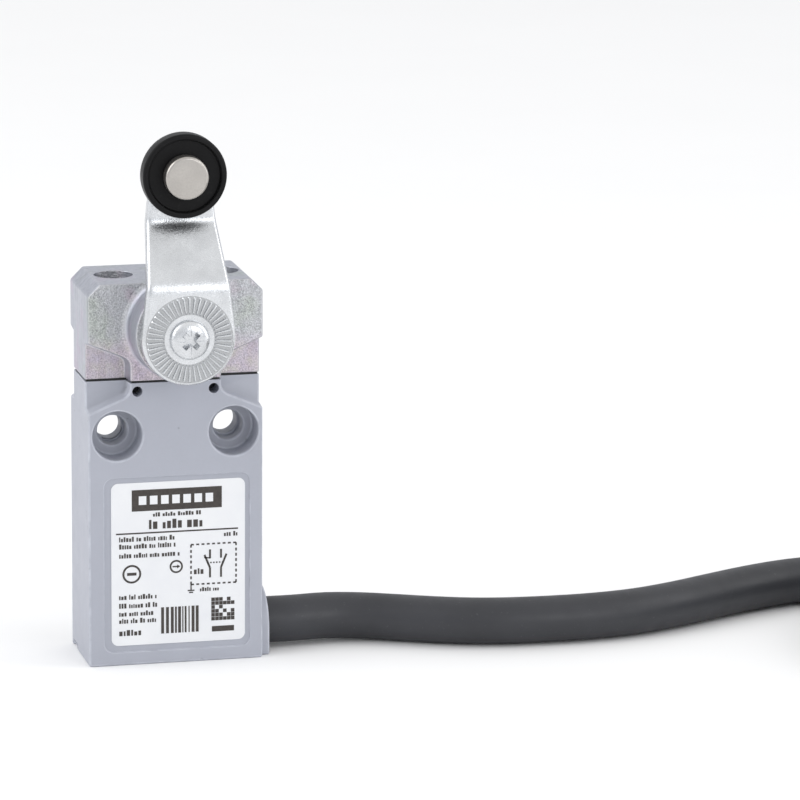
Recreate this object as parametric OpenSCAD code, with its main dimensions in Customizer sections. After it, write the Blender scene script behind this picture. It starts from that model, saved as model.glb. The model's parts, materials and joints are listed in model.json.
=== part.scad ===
// Compact pre-wired limit switch with a roller lever.
// Origin: centre of the body's bottom face. +X is the cable side, +Y is the back, +Z is up.

/* [Body] */
// Width of the body
body_w = 30; // [29.6:0.1:31]
// Depth of the body, front to back
body_d = 16; // [15.8:0.1:16.6]
// Height of the body, up to the joint with the head
body_h = 49; // [48.8:0.1:49.6]
// Distance between the two fixing holes
fixing_pitch = 20; // [19.8:0.1:20.2]
// Height of the fixing holes above the bottom face
fixing_z = 40; // [39.8:0.1:40.2]
// Diameter of the fixing holes
fixing_d = 4.4; // [4.2:0.1:4.6]
// Diameter of the counterbores on both faces
counterbore_d = 8.5; // [8:0.1:8.6]
// Depth of the recesses at the waist
waist_depth = 2.8; // [2:0.1:2.9]

/* [Head] */
// Height of the head casting
head_h = 16.8; // [16.4:0.1:17]
// Chamfer on the head's two top corners
head_chamfer = 2.1; // [1.5:0.1:2.4]
// Diameter of the boss round the shaft
boss_d = 16.4; // [16:0.1:16.6]
// Distance that the boss stands out of the head's front
boss_l = 7; // [6.5:0.1:7]
// Height of the shaft's axis
pivot_z = 58.6; // [58.4:0.1:58.8]

/* [Lever] */
// Distance from the shaft's axis to the roller's axis
lever_l = 26.9; // [26.4:0.1:30]
// Thickness of the lever's sheet
lever_t = 2; // [1.8:0.1:2]
// Radius of the lever's serrated end
lever_hub_r = 7.9; // [7.6:0.05:8.2]
// Radius of the lever's roller end
lever_tip_r = 5; // [4.8:0.1:5.6]
// Diameter of the roller
roller_d = 14.2; // [13:0.1:16]
// Width of the roller
roller_w = 3; // [2.6:0.1:3.4]

/* [Cable] */
// Diameter of the cable
cable_d = 8; // [7.8:0.1:8.2]
// Diameter of one insulated core
core_d = 1.8; // [1.6:0.1:1.9]

/* [Hidden] */
$fn = 64;
eps = 0.01;
half_w = body_w / 2;
half_d = body_d / 2;
front_y = -half_d;
back_y = half_d;

// Waist recesses: their outline in the front view, above and below the joint
waist_x = 7.8;
waist_z0 = 43.5;
waist_z1 = 56.5;
waist_slope = 23;
waist_r = 1.9;
waist_ramp = 0.35;

// Cavity inside the body
cavity_x = 12.6;
cavity_y = 6.2;
cavity_z = 34;
neck_x = 4.4;
neck_y = 4.4;
collar_x = 6.3;
collar_y = 5.2;
collar_z = 45.2;

// Bottom plate, resin and the pad that the cable leaves through
plate_x = 13.4;
plate_y = 6.8;
plate_z = 1.6;
resin_z = 8;
pad_x = half_w + 1.6;
pad_r = 6.5;
cable_z = 4.5;
cable_r = cable_d / 2;
grommet_r = 4.9;
jacket_end_x = 9.4;

// Label and its shallow pocket in the front
label_w = 23.1;
label_h = 28.3;
label_x = 0.4;
label_mid_z = 17.6;
label_t = 0.15;
label_corner = 1.2;
pocket_w = 25.2;
pocket_h = 30.4;
pocket_x = 0.2;
pocket_mid_z = 17.5;
pocket_t = 0.3;

// Small pins that lock the plunger guide in the neck
guide_pin_x = 6.55;
guide_pin_z = 47.55;
guide_pin_d = 1.76;

// Head: screws, bush and shaft
gasket_t = 0.4;
head_z = body_h + gasket_t;
head_top = head_z + head_h;
head_screw_x = 9.1;
screw_well_r = 3.3;
screw_seat_z = 57.6;
boss_y = front_y - boss_l;
chamber_r = 4.8;
chamber_y0 = -9;
chamber_y1 = 5.2;
bush_r = 4.5;
journal_r = 3;
running_gap = 0.05;
shaft_r = 2.5;
tail_r = 2;
tail_end_y = 7;
flange_r = 6.4;

// Lever: its planes from front to back
lever_y = boss_y - 2.5;
lever_front_y = lever_y - lever_t;
joggle = 6.5;
bend_z0 = 67.5;
bend_z1 = 77.7;
blade_y = lever_y + joggle;
blade_front_y = blade_y - lever_t;
roller_z = pivot_z + lever_l;
washer_t = 0.2;
roller_y1 = blade_front_y - washer_t - 0.1;
roller_y0 = roller_y1 - roller_w;
pin_r = 2;
pin_head_r = 3.65;
pin_head_y = roller_y0 - 1.9;
roller_bush_r = 3;
dish_r = 6.1;
dish_t = 0.9;

// Plunger and the contact block under it
cam_r = 4.3;
cam_flat = 2.6;
plunger_top = pivot_z - cam_r - 0.15;
plunger_head_r = 3.5;
plunger_head_t = 1.3;
stem_r = 1.6;
stem_z = 44;
base_x = 10.5;
base_y0 = -5.8;
base_y1 = 5.2;
base_z0 = 13;
base_z1 = 33;
base_wall = 1.5;
pusher_r = 1.5;
pusher_z = 27.4;
carriage_x = 2.6;
carriage_y = 2.4;
carriage_z0 = 19;
carriage_z1 = 30;
bridge_t = 0.5;
bridge_y = 1.5;
nc_bridge_z = 24.4;
no_bridge_z = 21;
tip_x = 7;
tip_r = 1.2;
tip_t = 0.5;
carriage_travel = 0.85;
contact_t = 0.6;
contact_gap = 0.05;
tab_x = 12.2;
nc_tip_z = nc_bridge_z + bridge_t + tip_t + contact_gap;
no_tip_z = no_bridge_z - tip_t - carriage_travel - contact_gap;

// Earth post inside the body
earth_x = -2;
earth_z = 10.6;
earth_post_r = 2.2;
earth_post_y = 1.6;

// Route of the cable on the floor, from the pad to the coil
cable_route = [
  [pad_x, 0, cable_z], [22, 0, 4.5], [28, 0.8, 4.4], [34, 0.2, 4.2], [40, -2, 4.1],
  [46, -4.8, 4.1], [52, -7, 4.1], [58, -8.2, 4.1], [66, -8.7, 4.1], [74, -8.4, 4.1],
  [82, -6.9, 4.1], [90, -3.8, 4.1], [98, 0.2, 4.1], [106, 4, 4.1], [114, 6.8, 4.1],
  [124, 8, 4.1], [140, 8, 4.1], [160, 8, 4.1]
];
coil_x = 160;
coil_y = -38.5;
coil_r_outer = 46.5;
coil_r_inner = 38.5;
coil_r_top = 42.5;
coil_top_z = 16.6;
// Room round the outer turn, which is not a perfect circle
coil_room = 0.2;

// The cable's free end, tucked inside the coil: where its jacket ends and its cores go on
end_r = 30.5;
end_angle = -72;
down_angle = 190;
down_sweep = 150;
cord_gap = 0.1;
tail_sweep = 32;
ferrule_sweep = 10;
tie_angle = -60;
tail_z = 1;

// A cylinder along the Y axis from y0 to y1
module rod_y(y0, y1, r, x = 0, z = 0) {
  translate([x, y0, z]) rotate([-90, 0, 0]) cylinder(h = y1 - y0, r = r);
}

// A cylinder along the X axis from x0 to x1
module rod_x(x0, x1, r, y = 0, z = 0) {
  translate([x0, y, z]) rotate([0, 90, 0]) cylinder(h = x1 - x0, r = r);
}

// A cylinder along the Z axis from z0 to z1
module rod_z(z0, z1, r, x = 0, y = 0) {
  translate([x, y, z0]) cylinder(h = z1 - z0, r = r);
}

// A box from its lowest corner to its highest corner
module box(low, high) {
  translate(low) cube(high - low);
}

// A front-view outline, given in X and Z, made solid from y0 to y1
module front_plate(y0, y1) {
  translate([0, y1, 0]) rotate([90, 0, 0]) linear_extrude(y1 - y0) children();
}

// A side-view outline, given in Y and Z, made solid from x0 to x1
module side_plate(x0, x1) {
  translate([x0, 0, 0]) rotate([90, 0, 90]) linear_extrude(x1 - x0) children();
}

// The same thing on the left and on the right
module both_sides() {
  children();
  mirror([1, 0, 0]) children();
}

// A rectangle with round corners, centred on its middle
module rounded_rect(w, h, r) {
  square([w - 2 * r, h], center = true);
  square([w, h - 2 * r], center = true);
  for (sx = [-1, 1], sy = [-1, 1])
    translate([sx * (w / 2 - r), sy * (h / 2 - r)]) circle(r);
}

function unit(v) = v / norm(v);

// Direction of a route at its point number i
function heading(route, i) =
  unit(route[min(i + 1, len(route) - 1)] - route[max(i - 1, 0)]);

// One ring of points round point i of a route; up is any direction that is never along the route
function ring(route, i, r, sides, up) =
  let (side = unit(cross(heading(route, i), up)), top = cross(side, heading(route, i)))
  [for (k = [0 : sides - 1]) route[i] + r * (cos(360 * k / sides) * side + sin(360 * k / sides) * top)];

// A tube swept along a route
module tube(route, r, sides, up) {
  last = len(route) - 1;
  points = [for (i = [0 : last]) each ring(route, i, r, sides, up)];
  walls = [for (i = [0 : last - 1], k = [0 : sides - 1])
    [i * sides + k, i * sides + (k + 1) % sides, (i + 1) * sides + (k + 1) % sides, (i + 1) * sides + k]];
  start_cap = [for (k = [sides - 1 : -1 : 0]) k];
  end_cap = [for (k = [0 : sides - 1]) last * sides + k];
  polyhedron(points = points, faces = concat([start_cap], walls, [end_cap]), convexity = 8);
}

// Lower half of the outline of one waist recess on the right, drawn in from its edge by inset:
// a slanted line from the side, then a round corner
function waist_half(inset) =
  let (reach = half_w + 1 - waist_x - waist_r,
       middle = [waist_x + waist_r, waist_z0 + (waist_r + reach * sin(waist_slope)) / cos(waist_slope)])
  concat([[half_w + 1, waist_z0 + inset / cos(waist_slope)]],
         [for (k = [0 : 4])
           let (angle = 270 - waist_slope - (90 - waist_slope) * k / 4)
           middle + (waist_r - inset) * [cos(angle), sin(angle)]]);

// The whole outline: its upper half mirrors the lower one
function waist_outline(inset) =
  let (low = waist_half(inset))
  concat(low, [for (i = [len(low) - 1 : -1 : 0]) [low[i][0], waist_z0 + waist_z1 - low[i][1]]]);

// The four waist recesses with steep walls
module waist_cut() {
  for (turn = [0, 180])
    rotate([0, 0, turn]) both_sides() hull() {
      front_plate(front_y - eps, front_y) polygon(waist_outline(0));
      front_plate(front_y, front_y + waist_depth) polygon(waist_outline(waist_ramp));
    }
}

// One fixing hole with a counterbore at each end
module fixing_hole() {
  rod_y(front_y - 1, front_y + 4.8, counterbore_d / 2);
  rod_y(front_y, 0, fixing_d / 2 + 0.35);
  rod_y(front_y, back_y, fixing_d / 2);
  rod_y(back_y - 4.6, back_y + 1, counterbore_d / 2);
}

// The hollow inside the body: wide below, a neck above, and the seat of the guide's collar
module body_hollow() {
  box([-cavity_x, -cavity_y, plate_z], [cavity_x, cavity_y, cavity_z]);
  box([-plate_x, -plate_y, -1], [plate_x, plate_y, plate_z]);
  box([-neck_x, -neck_y, cavity_z - 1], [neck_x, neck_y, collar_z + eps]);
  box([-collar_x, -collar_y, collar_z], [collar_x, collar_y, body_h + 1]);
}

// Side view of the pad round the cable: a flat bottom and a round top
module pad_outline() {
  intersection() {
    union() {
      translate([0, cable_z]) circle(pad_r);
      translate([-pad_r, 0]) square([2 * pad_r, cable_z]);
    }
    translate([-pad_r, 0]) square([2 * pad_r, 2 * pad_r]);
  }
}

// The round-topped slot that the cable's grommet sits in
module cable_slot(x0, x1, r) {
  rod_x(x0, x1, r, 0, cable_z);
  box([x0, -r, -1], [x1, r, cable_z]);
}

module body_casting() {
  color([0.70, 0.71, 0.75]) {
    difference() {
      union() {
        box([-half_w, front_y, 0], [half_w, back_y, body_h]);
        side_plate(half_w - 1, pad_x) pad_outline();
      }
      waist_cut();
      body_hollow();
      for (side = [-1, 1])
        translate([side * fixing_pitch / 2, 0, fixing_z]) fixing_hole();
      translate([pocket_x, 0, pocket_mid_z])
        front_plate(front_y - 1, front_y + pocket_t) rounded_rect(pocket_w, pocket_h, 1.6);
      both_sides() rod_y(front_y - 1, 5.6, guide_pin_d / 2, guide_pin_x, guide_pin_z);
      both_sides() rod_z(44.4, body_h + 1, 1.5, head_screw_x);
      cable_slot(cavity_x - 1, pad_x + 1, grommet_r);
    }
    difference() {
      rod_y(earth_post_y, cavity_y + 0.5, earth_post_r, earth_x, earth_z);
      rod_y(earth_post_y - 1, 5, 1, earth_x, earth_z);
    }
  }
}

module bottom_plate() {
  color([0.25, 0.26, 0.28])
    difference() {
      box([-plate_x + 0.1, -plate_y + 0.1, 0], [plate_x - 0.1, plate_y - 0.1, plate_z - 0.05]);
      box([jacket_end_x - 0.1, -grommet_r - 0.2, -1], [plate_x, grommet_r + 0.2, plate_z + 1]);
    }
}

module potting_resin() {
  color([0.12, 0.12, 0.13])
    box([-cavity_x + 0.05, -cavity_y + 0.05, plate_z], [jacket_end_x, cavity_y - 0.05, resin_z]);
}

module label() {
  color([0.94, 0.94, 0.95])
    translate([label_x, 0, label_mid_z])
      front_plate(front_y + pocket_t - label_t, front_y + pocket_t)
        rounded_rect(label_w, label_h, label_corner);
}

// Front view of the head: a block with its top corners cut off
module head_outline() {
  top_x = half_w - head_chamfer;
  polygon([[-half_w, head_z], [half_w, head_z], [half_w, head_top - head_chamfer], [top_x, head_top],
           [-top_x, head_top], [-half_w, head_top - head_chamfer]]);
}

module head_casting() {
  color([0.78, 0.79, 0.82])
    difference() {
      union() {
        front_plate(front_y, back_y) head_outline();
        rod_y(boss_y, front_y + 1, boss_d / 2, 0, pivot_z);
      }
      waist_cut();
      both_sides() {
        rod_z(screw_seat_z, head_top + 1, screw_well_r, head_screw_x);
        rod_z(head_z - 1, screw_seat_z + 1, 1.7, head_screw_x);
      }
      rod_y(boss_y - 1, chamber_y0 + eps, bush_r, 0, pivot_z);
      rod_y(chamber_y0, chamber_y1, chamber_r, 0, pivot_z);
      rod_y(chamber_y1 - 1, tail_end_y + 0.1, tail_r + running_gap, 0, pivot_z);
      box([-4.2, -4.4, head_z - 1], [4.2, 4.4, pivot_z]);
    }
}

module head_gasket() {
  edge = 0.3;
  color([0.08, 0.08, 0.09])
    difference() {
      box([-half_w + edge, front_y + edge, body_h], [half_w - edge, back_y - edge, head_z]);
      for (turn = [0, 180])
        rotate([0, 0, turn]) both_sides()
          box([waist_x - edge, front_y - 1, body_h - 1], [half_w + 1, front_y + waist_depth + edge, head_z + 1]);
      box([-4.2, -4.4, body_h - 1], [4.2, 4.4, head_z + 1]);
      both_sides() rod_z(body_h - 1, head_z + 1, 1.7, head_screw_x);
    }
}

// Socket-head screws at the bottom of the two wells
module head_screws() {
  color([0.62, 0.62, 0.64])
    both_sides() difference() {
      union() {
        rod_z(screw_seat_z, screw_seat_z + 3, 2.75, head_screw_x);
        rod_z(44.8, screw_seat_z + eps, 1.48, head_screw_x);
      }
      translate([head_screw_x, 0, screw_seat_z + 1.4]) cylinder(h = 3, r = 1.45, $fn = 6);
    }
}

module shaft_bush() {
  color([0.72, 0.56, 0.30])
    difference() {
      rod_y(boss_y + 1.6, chamber_y0 - 0.1, bush_r - 0.02, 0, pivot_z);
      rod_y(boss_y, chamber_y0 + 1, journal_r + running_gap, 0, pivot_z);
    }
}

module shaft_seal() {
  color([0.07, 0.07, 0.07])
    difference() {
      rod_y(boss_y + 0.2, boss_y + 1.5, bush_r - 0.02, 0, pivot_z);
      rod_y(boss_y, boss_y + 2, journal_r + running_gap, 0, pivot_z);
    }
}

module plunger_guide() {
  color([0.85, 0.84, 0.80])
    difference() {
      box([-collar_x + 0.05, -collar_y + 0.05, collar_z + 0.05], [collar_x - 0.05, collar_y - 0.05, body_h]);
      rod_z(collar_z - 1, body_h + 1, stem_r + running_gap);
      both_sides() rod_y(-collar_y - 1, collar_y + 1, guide_pin_d / 2 + 0.04, guide_pin_x, guide_pin_z);
    }
}

module guide_pins() {
  color([0.5, 0.5, 0.52])
    both_sides() rod_y(-4.6, 5.5, guide_pin_d / 2, guide_pin_x, guide_pin_z);
}

// The strips and tips of one pair of fixed contacts; the tip starts at tip_z and points towards dir
module fixed_pair(tip_z, dir) {
  low = dir > 0 ? tip_z : tip_z - tip_t;
  strip_low = dir > 0 ? tip_z + tip_t : tip_z - tip_t - contact_t;
  both_sides() {
    rod_z(low, low + tip_t, tip_r, tip_x);
    box([tip_x - 1.4, -bridge_y, strip_low], [tab_x, bridge_y, strip_low + contact_t]);
  }
}

// The slots in the contact base's side walls that the fixed contacts pass through
module contact_slots(tip_z, dir) {
  strip_low = dir > 0 ? tip_z + tip_t : tip_z - tip_t - contact_t;
  both_sides()
    box([base_x - base_wall - 1, -bridge_y - 0.03, strip_low - 0.03],
        [base_x + 1, bridge_y + 0.03, strip_low + contact_t + 0.03]);
}

module contact_base() {
  color([0.16, 0.20, 0.30])
    difference() {
      box([-base_x, base_y0, base_z0], [base_x, base_y1, base_z1]);
      box([-base_x + base_wall, base_y0 + base_wall, base_z0 + base_wall],
          [base_x - base_wall, base_y1 + 1, base_z1 - base_wall]);
      rod_z(base_z1 - base_wall - 1, base_z1 + 1, pusher_r + running_gap);
      contact_slots(nc_tip_z, 1);
      contact_slots(no_tip_z, -1);
    }
}

module contact_cover() {
  color([0.75, 0.76, 0.74])
    box([-base_x, base_y1, base_z0], [base_x, cavity_y - 0.1, base_z1]);
}

module nc_contacts() {
  color([0.80, 0.62, 0.35]) fixed_pair(nc_tip_z, 1);
}

module no_contacts() {
  color([0.80, 0.62, 0.35]) fixed_pair(no_tip_z, -1);
}

module earth_tab() {
  color([0.80, 0.70, 0.45])
    difference() {
      union() {
        rod_y(earth_post_y - 0.5, earth_post_y, earth_post_r, earth_x, earth_z);
        box([earth_x, earth_post_y - 0.5, earth_z - 0.9], [earth_x + 5.2, earth_post_y, earth_z + 0.9]);
      }
      rod_y(0, 3, 1.05, earth_x, earth_z);
    }
}

module earth_screw() {
  color([0.70, 0.70, 0.72])
    difference() {
      union() {
        rod_y(-0.6, earth_post_y - 0.5, 1.9, earth_x, earth_z);
        rod_y(0.5, 4.8, 0.98, earth_x, earth_z);
      }
      box([earth_x - 2, -1, earth_z - 0.25], [earth_x + 2, 0, earth_z + 0.25]);
    }
}

module cable_grommet() {
  color([0.06, 0.06, 0.07])
    difference() {
      union() {
        rod_x(cavity_x + 0.1, pad_x - 0.3, grommet_r - 0.05, 0, cable_z);
        box([cavity_x + 0.1, -grommet_r + 0.05, 0.05], [pad_x - 0.3, grommet_r - 0.05, cable_z]);
      }
      rod_x(cavity_x, pad_x, cable_r, 0, cable_z);
      box([cavity_x, -grommet_r, -1], [pad_x, grommet_r, 0.05]);
    }
}

module cable_clamp() {
  color([0.20, 0.20, 0.22])
    difference() {
      box([jacket_end_x + 0.4, -5.6, plate_z + 0.1], [cavity_x - 0.1, 5.6, 10.4]);
      rod_x(jacket_end_x, cavity_x, cable_r + 0.02, 0, cable_z);
    }
}

// The end of the cable's jacket, inside the housing
module cable_entry() {
  color([0.10, 0.10, 0.11]) rod_x(jacket_end_x, pad_x, cable_r, 0, cable_z);
}

// A core that goes to the left: under the contact block and up its far side
module left_core(y, z_end) {
  tube([[jacket_end_x, y * 0.3, 3], [8, y * 0.3, 3], [4, y * 0.6, 3.8], [0, y * 0.9, 5], [-5, y, 7],
        [-9, y, 9.6], [-11.4, y, 12], [-11.6, y, 14.5], [-11.6, y, z_end]], core_d / 2, 8, [0, 1, 0]);
}

// A core that goes to the right: back over the clamp and up the near side of the contact block
module right_core(y, z_end) {
  tube([[jacket_end_x, y * 0.48, 5.1], [8.6, y * 0.48, 5.1], [7.2, y * 0.64, 6], [6.7, y * 0.84, 8],
        [7.5, y * 0.95, 10.2], [9.4, y, 11.3], [11.4, y, 12.1], [11.6, y, 14.5], [11.6, y, z_end]],
       core_d / 2, 8, [0, 1, 0]);
}

module core_black() {
  color([0.08, 0.08, 0.08]) left_core(-3.4, 25);
}

module core_black_white() {
  color([0.75, 0.75, 0.75]) left_core(3.4, 20);
}

module core_brown() {
  color([0.40, 0.22, 0.10]) right_core(3.8, 20);
}

module core_blue() {
  color([0.10, 0.25, 0.60]) right_core(-3.8, 25);
}

module core_green_yellow() {
  color([0.35, 0.60, 0.15])
    tube([[jacket_end_x, 0, 6.5], [8.6, 0, 6.5], [7.2, 0, 7.1], [6, 0.2, 8.2], [4.9, 0.4, 9.6], [3.4, 0.5, 10.5]],
         core_d / 2, 8, [0, 1, 0]);
}

// Everything that turns with the lever
module shaft() {
  color([0.70, 0.71, 0.73])
    difference() {
      union() {
        rod_y(lever_y, boss_y - 0.3, flange_r, 0, pivot_z);
        rod_y(boss_y - 0.4, chamber_y0, journal_r, 0, pivot_z);
        rod_y(chamber_y0 - eps, chamber_y1 - 0.2, shaft_r, 0, pivot_z);
        rod_y(chamber_y1 - 0.3, tail_end_y, tail_r, 0, pivot_z);
      }
      rod_y(lever_y - 1, boss_y + 5, 2, 0, pivot_z);
      rod_x(-5, 5, 0.72, -2, pivot_z);
    }
}

module cam() {
  color([0.60, 0.60, 0.58])
    difference() {
      rod_y(-5, 1, cam_r, 0, pivot_z);
      rod_y(-6, 2, shaft_r + 0.02, 0, pivot_z);
      box([-5, -6, pivot_z - 6], [5, 2, pivot_z - cam_flat]);
      rod_x(-5, 5, 0.72, -2, pivot_z);
    }
}

module cam_pin() {
  color([0.50, 0.50, 0.50]) rod_x(-3.9, 3.9, 0.7, -2, pivot_z);
}

module shaft_clip() {
  color([0.35, 0.35, 0.36])
    difference() {
      rod_y(3.4, 4.2, 3.6, 0, pivot_z);
      rod_y(3, 5, shaft_r + 0.02, 0, pivot_z);
      box([-1.6, 3, pivot_z - 5], [1.6, 5, pivot_z]);
    }
}

// Front view of the lever: two round ends joined by tangents
module lever_outline() {
  slope = asin((lever_hub_r - lever_tip_r) / lever_l);
  hub = [lever_hub_r * cos(slope), pivot_z + lever_hub_r * sin(slope)];
  tip = [lever_tip_r * cos(slope), roller_z + lever_tip_r * sin(slope)];
  translate([0, pivot_z]) circle(lever_hub_r);
  translate([0, roller_z]) circle(lever_tip_r);
  polygon([[-hub[0], hub[1]], [0, pivot_z], hub, tip, [0, roller_z], [-tip[0], tip[1]]]);
}

// Side view of the lever: a sheet with a joggle towards the body
module lever_profile() {
  bend = atan(joggle / (bend_z1 - bend_z0));
  drop = lever_t * tan(bend / 2);
  low = pivot_z - lever_hub_r - 1;
  high = roller_z + lever_tip_r + 1;
  polygon([[lever_front_y, low], [lever_front_y, bend_z0], [blade_front_y, bend_z1], [blade_front_y, high],
           [blade_y, high], [blade_y, bend_z1 - drop], [lever_y, bend_z0 - drop], [lever_y, low]]);
}

module lever() {
  color([0.80, 0.82, 0.84])
    difference() {
      intersection() {
        front_plate(lever_front_y - 1, blade_y + 1) lever_outline();
        side_plate(-half_w, half_w) lever_profile();
      }
      rod_y(lever_front_y - 1, lever_y + 1, 2.05, 0, pivot_z);
      rod_y(blade_front_y - 1, blade_y + 1, pin_r + 0.01, 0, roller_z);
    }
}

module lever_screw() {
  color([0.80, 0.80, 0.82])
    difference() {
      union() {
        rod_y(lever_front_y - 0.8, lever_front_y, 3.35, 0, pivot_z);
        translate([0, lever_front_y - 0.8, pivot_z]) rotate([90, 0, 0]) cylinder(h = 0.7, r1 = 3.35, r2 = 2.3);
        rod_y(lever_front_y - eps, boss_y + 4, 1.95, 0, pivot_z);
      }
      translate([0, 0, pivot_z]) for (angle = [45, 135])
        rotate([0, angle, 0]) box([-1.8, lever_front_y - 2, -0.45], [1.8, lever_front_y - 0.3, 0.45]);
    }
}

module roller_washer() {
  color([0.75, 0.75, 0.76])
    difference() {
      rod_y(blade_front_y - washer_t, blade_front_y, 3.4, 0, roller_z);
      rod_y(blade_front_y - 1, blade_front_y + 1, pin_r + 0.01, 0, roller_z);
    }
}

module roller_pin() {
  color([0.72, 0.70, 0.67]) {
    rod_y(pin_head_y, pin_head_y + 2.4, pin_head_r, 0, roller_z);
    rod_y(pin_head_y + 2, blade_y + 0.1, pin_r, 0, roller_z);
    rod_y(blade_y, blade_y + 0.9, 2.9, 0, roller_z);
  }
}

module roller() {
  color([0.10, 0.10, 0.11])
    difference() {
      rod_y(roller_y0, roller_y1, roller_d / 2, 0, roller_z);
      rod_y(roller_y0 - 1, roller_y0 + dish_t, dish_r, 0, roller_z);
      rod_y(roller_y0, roller_y1 + 1, roller_bush_r + 0.01, 0, roller_z);
    }
}

// Plain bearing pressed into the roller
module roller_bush() {
  color([0.70, 0.55, 0.30])
    difference() {
      rod_y(roller_y0 + dish_t, roller_y1, roller_bush_r, 0, roller_z);
      rod_y(roller_y0, roller_y1 + 1, pin_r + running_gap, 0, roller_z);
    }
}

module plunger() {
  color([0.65, 0.65, 0.66]) {
    rod_z(plunger_top - plunger_head_t, plunger_top, plunger_head_r);
    rod_z(stem_z, plunger_top - plunger_head_t + eps, stem_r);
  }
}

// A coil spring drawn as a stack of flat rings
module spring_stack(z0, z1, r_out, r_in, turns) {
  pitch = (z1 - z0) / turns;
  difference() {
    for (i = [0 : turns - 1]) rod_z(z0 + i * pitch, z0 + (i + 0.55) * pitch, r_out);
    rod_z(z0 - 1, z1 + 1, r_in);
  }
  difference() {
    rod_z(z0, z1, r_in + 0.35);
    rod_z(z0 - 1, z1 + 1, r_in);
  }
}

module return_spring() {
  color([0.55, 0.55, 0.56]) spring_stack(body_h, plunger_top - plunger_head_t, 2.9, 2.1, 4);
}

module contact_plunger() {
  color([0.90, 0.88, 0.80]) rod_z(pusher_z, stem_z, pusher_r);
}

module contact_carriage() {
  color([0.30, 0.12, 0.10])
    difference() {
      box([-carriage_x, -carriage_y, carriage_z0], [carriage_x, carriage_y, carriage_z1]);
      rod_z(pusher_z - carriage_travel - 0.1, carriage_z1 + 1, pusher_r + running_gap);
      for (z = [nc_bridge_z, no_bridge_z])
        box([-carriage_x - 1, -bridge_y - 0.02, z - 0.02], [carriage_x + 1, bridge_y + 0.02, z + bridge_t + 0.02]);
    }
}

// A moving bridge with a contact tip at each end; the tips point towards dir
module bridge(z, dir) {
  box([-tip_x - 1.3, -bridge_y, z], [tip_x + 1.3, bridge_y, z + bridge_t]);
  low = dir > 0 ? z + bridge_t : z - tip_t;
  both_sides() rod_z(low, low + tip_t, tip_r, tip_x);
}

module nc_bridge() {
  color([0.85, 0.70, 0.45]) bridge(nc_bridge_z, 1);
}

module no_bridge() {
  color([0.85, 0.70, 0.45]) bridge(no_bridge_z, -1);
}

module carriage_spring() {
  color([0.60, 0.60, 0.60]) spring_stack(base_z0 + base_wall, carriage_z0, 1.9, 1.3, 5);
}

module cable_run() {
  color([0.10, 0.10, 0.11]) tube(cable_route, cable_r, 12, [0, 0, 1]);
}

// A stretch of the coil: its angles and its section from r0 to r1 and z0 to z1
module coil_part(start, sweep, r0, r1, z0, z1) {
  rotate([0, 0, start]) rotate_extrude(angle = sweep) translate([r0, z0]) square([r1 - r0, z1 - z0]);
}

// Two turns side by side on the floor, one on top, and the free end: it comes down inside them,
// over its own cores, and goes on along the floor
module cable_coil() {
  floor_top_z = cable_d + cord_gap;
  end_r0 = end_r - cable_r;
  end_z0 = 2 * cord_gap;
  above_cores_z = tail_z + 3.2;
  down_top_z = coil_top_z - cord_gap;
  end_sweep = 359 - tail_sweep - ferrule_sweep;
  color([0.10, 0.10, 0.11])
    translate([coil_x, coil_y, 0]) {
      coil_part(0, 360, coil_r_inner - cable_r, coil_r_outer + cable_r + coil_room, cord_gap, floor_top_z);
      coil_part(0, 360, coil_r_top - cable_r, coil_r_top + cable_r, floor_top_z - 1, coil_top_z);
      coil_part(end_angle, end_sweep, end_r0, coil_r_inner - 2, end_z0, floor_top_z - cord_gap);
      coil_part(down_angle, down_sweep, end_r0 + cord_gap, coil_r_inner + 2, above_cores_z, down_top_z);
    }
}

// A strap round the coil
module coil_tie() {
  low_r = end_r - cable_r;
  high_r = coil_r_outer + cable_r + coil_room;
  color([0.85, 0.85, 0.85])
    translate([coil_x, coil_y, 0]) rotate([0, 0, tie_angle])
      difference() {
        box([low_r - 1, -2, 0], [high_r + 1, 2, coil_top_z + 1]);
        box([low_r, -3, 0.8], [high_r, 3, coil_top_z]);
      }
}

// Where the five free cores lie: how far each is from the end's radius, and its height
tail_places = [[0, tail_z + 1.75], [3, tail_z], [1, tail_z], [-1, tail_z], [-3, tail_z]];

// A round bar bent along the coil, from angle a0 to angle a1, at one of the free cores' places
module tail_arc(place, a0, a1, r) {
  translate([coil_x, coil_y, place[1]]) rotate([0, 0, a0])
    rotate_extrude(angle = a1 - a0) translate([end_r + place[0], 0]) circle(r);
}

module tail_core(number) {
  tail_arc(tail_places[number], end_angle - tail_sweep, end_angle, core_d / 2);
}

module tail_black() {
  color([0.08, 0.08, 0.08]) tail_core(1);
}

module tail_black_white() {
  color([0.75, 0.75, 0.75]) tail_core(2);
}

module tail_brown() {
  color([0.40, 0.22, 0.10]) tail_core(3);
}

module tail_blue() {
  color([0.10, 0.25, 0.60]) tail_core(4);
}

module tail_green_yellow() {
  color([0.35, 0.60, 0.15]) tail_core(0);
}

// Crimped ferrules on the ends of the free cores
module tail_ferrules() {
  ferrule_r = 0.6;
  color([0.75, 0.75, 0.77])
    for (place = tail_places)
      tail_arc(place, end_angle - tail_sweep - ferrule_sweep, end_angle - tail_sweep, ferrule_r);
}

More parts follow.
